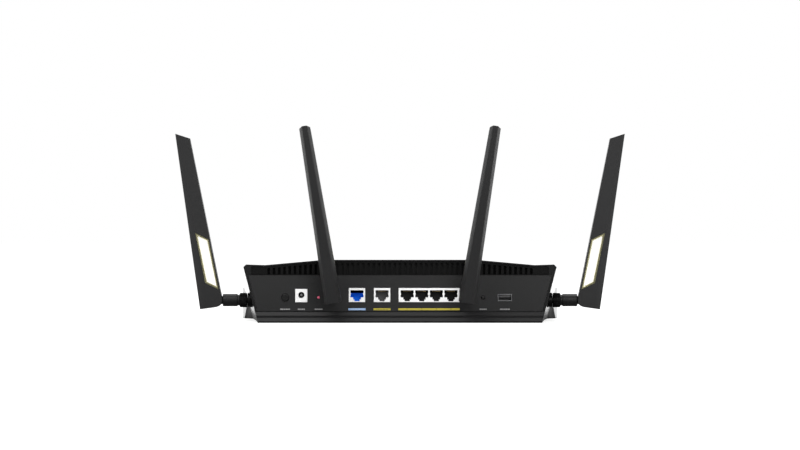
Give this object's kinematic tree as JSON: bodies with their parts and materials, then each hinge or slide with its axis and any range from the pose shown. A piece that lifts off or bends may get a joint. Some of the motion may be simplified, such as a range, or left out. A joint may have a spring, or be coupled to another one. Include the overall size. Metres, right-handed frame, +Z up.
{
  "type": "wireless router",
  "caption": "Black desktop wireless router with a sloping case, rear network sockets and swivelling blade antennas with gold-trimmed windows.",
  "frame": {"origin": "on the resting surface, under the middle of the box round the whole router with its antennas as modelled", "axes": "+X to the right seen from the rear, +Y from the rear sockets towards the front, +Z up"},
  "size_m": [0.4328, 0.2606, 0.1872],
  "materials": {
    "case_plastic": "fine-textured matt black",
    "cover_plastic": "fine-textured black with glossy flanks",
    "panel_plastic": "fine-textured dark grey",
    "foot_rubber": "matt",
    "screw_steel": "dark plated",
    "board_laminate": "green lacquer",
    "sink_aluminium": "plain",
    "pad_silicone": "soft",
    "can_steel": "tinned",
    "chip_epoxy": "moulded",
    "socket_white": "satin white",
    "socket_blue": "satin blue",
    "socket_grey": "satin grey",
    "socket_black": "satin black",
    "contact_gold": "gold plated",
    "metal_plate": "plated",
    "tongue_plastic": "dark",
    "switch_plastic": "moulded",
    "button_black": "satin black",
    "button_red": "red",
    "light_white": "clear lens",
    "guide_clear": "clear acrylic",
    "brass_plate": "plated brass",
    "cable_sheath": "smooth",
    "nut_plastic": "knurled",
    "barrel_plastic": "satin",
    "pin_steel": "ground",
    "blade_plastic": "fine-textured",
    "trim_gold": "satin gold",
    "radiator_laminate": "copper-clad"
  },
  "bodies": {
    "case": {"bottom_case": "case_plastic", "top_cover": "cover_plastic", "rear_panel": "panel_plastic", "rubber_feet": "foot_rubber", "case_screws": "screw_steel", "main_board": "board_laminate", "board_screws": "screw_steel", "heat_sink": "sink_aluminium", "heat_plate": "sink_aluminium", "thermal_pads": "pad_silicone", "shield_cans": "can_steel", "chips": "chip_epoxy", "wan_jack_shell": "socket_white", "wan_jack_insert": "socket_blue", "fast_jack_shell": "socket_white", "fast_jack_insert": "socket_grey", "lan_jack_shell": "socket_white", "lan_jack_insert": "socket_black", "jack_contacts": "contact_gold", "power_inlet": "socket_white", "power_inlet_pin": "metal_plate", "usb_shell": "metal_plate", "usb_tongue": "tongue_plastic", "power_switch": "switch_plastic", "tact_switches": "switch_plastic", "status_lights": "light_white", "light_guide": "guide_clear", "antenna_sockets": "brass_plate", "socket_lock_nuts": "brass_plate", "pigtail_cables": "cable_sheath", "left_side_nut": "nut_plastic", "left_rear_nut": "nut_plastic", "right_rear_nut": "nut_plastic", "right_side_nut": "nut_plastic"},
    "power_button": {"power_button": "button_black"},
    "reset_button": {"reset_button": "button_red"},
    "sync_button": {"sync_button": "button_black"},
    "wifi_button": {"wifi_button": "button_black"},
    "light_button": {"light_button": "button_black"},
    "left_side_swivel": {"left_side_barrel": "barrel_plastic"},
    "left_side_blade_body": {"left_side_blade": "blade_plastic", "left_side_window_trim": "trim_gold", "left_side_radiator": "radiator_laminate", "left_side_hinge_pin": "pin_steel"},
    "left_rear_swivel": {"left_rear_barrel": "barrel_plastic"},
    "left_rear_blade_body": {"left_rear_blade": "blade_plastic", "left_rear_window_trim": "trim_gold", "left_rear_radiator": "radiator_laminate", "left_rear_hinge_pin": "pin_steel"},
    "right_rear_swivel": {"right_rear_barrel": "barrel_plastic"},
    "right_rear_blade_body": {"right_rear_blade": "blade_plastic", "right_rear_window_trim": "trim_gold", "right_rear_radiator": "radiator_laminate", "right_rear_hinge_pin": "pin_steel"},
    "right_side_swivel": {"right_side_barrel": "barrel_plastic"},
    "right_side_blade_body": {"right_side_blade": "blade_plastic", "right_side_window_trim": "trim_gold", "right_side_radiator": "radiator_laminate", "right_side_hinge_pin": "pin_steel"}
  },
  "joints": [
    {"name": "power_button_press", "type": "slide", "parent": "case", "child": "power_button", "axis": [0, 1, 0], "range_m": [0, 0.0022], "stiffness_N_per_m": 300, "springref_m": -0.001},
    {"name": "reset_button_press", "type": "slide", "parent": "case", "child": "reset_button", "axis": [0, 1, 0], "range_m": [0, 0.0008], "stiffness_N_per_m": 300, "springref_m": -0.001},
    {"name": "sync_button_press", "type": "slide", "parent": "case", "child": "sync_button", "axis": [0, 1, 0], "range_m": [0, 0.0008], "stiffness_N_per_m": 300, "springref_m": -0.001},
    {"name": "wifi_button_press", "type": "slide", "parent": "case", "child": "wifi_button", "axis": [0, -1, 0], "range_m": [0, 0.0008], "stiffness_N_per_m": 300, "springref_m": -0.001},
    {"name": "light_button_press", "type": "slide", "parent": "case", "child": "light_button", "axis": [0, -1, 0], "range_m": [0, 0.0008], "stiffness_N_per_m": 300, "springref_m": -0.001},
    {"name": "left_side_swivel_turn", "type": "hinge", "parent": "case", "child": "left_side_swivel", "pos_m": [-0.15633, -0.03552, 0.0216], "axis": [-1, 0, 0], "range_deg": [-90, 90]},
    {"name": "left_side_blade_tilt", "type": "hinge", "parent": "left_side_swivel", "child": "left_side_blade_body", "pos_m": [-0.17773, -0.03552, 0.0216], "axis": [0, -1, 0], "range_deg": [-8.1, 81.9]},
    {"name": "left_rear_swivel_turn", "type": "hinge", "parent": "case", "child": "left_rear_swivel", "pos_m": [-0.0647, -0.07022, 0.0287], "axis": [0, -1, 0], "range_deg": [-54, 81]},
    {"name": "left_rear_blade_tilt", "type": "hinge", "parent": "left_rear_swivel", "child": "left_rear_blade_body", "pos_m": [-0.0647, -0.09162, 0.0287], "axis": [0.9877, 0, 0.1564], "range_deg": [-8.1, 81.9]},
    {"name": "right_rear_swivel_turn", "type": "hinge", "parent": "case", "child": "right_rear_swivel", "pos_m": [0.0647, -0.07022, 0.0287], "axis": [0, -1, 0], "range_deg": [-81, 54]},
    {"name": "right_rear_blade_tilt", "type": "hinge", "parent": "right_rear_swivel", "child": "right_rear_blade_body", "pos_m": [0.0647, -0.09162, 0.0287], "axis": [0.9877, 0, -0.1564], "range_deg": [-8.1, 81.9]},
    {"name": "right_side_swivel_turn", "type": "hinge", "parent": "case", "child": "right_side_swivel", "pos_m": [0.15633, -0.03552, 0.0216], "axis": [1, 0, 0], "range_deg": [-90, 90]},
    {"name": "right_side_blade_tilt", "type": "hinge", "parent": "right_side_swivel", "child": "right_side_blade_body", "pos_m": [0.17773, -0.03552, 0.0216], "axis": [0, 1, 0], "range_deg": [-8.1, 81.9]}
  ]
}
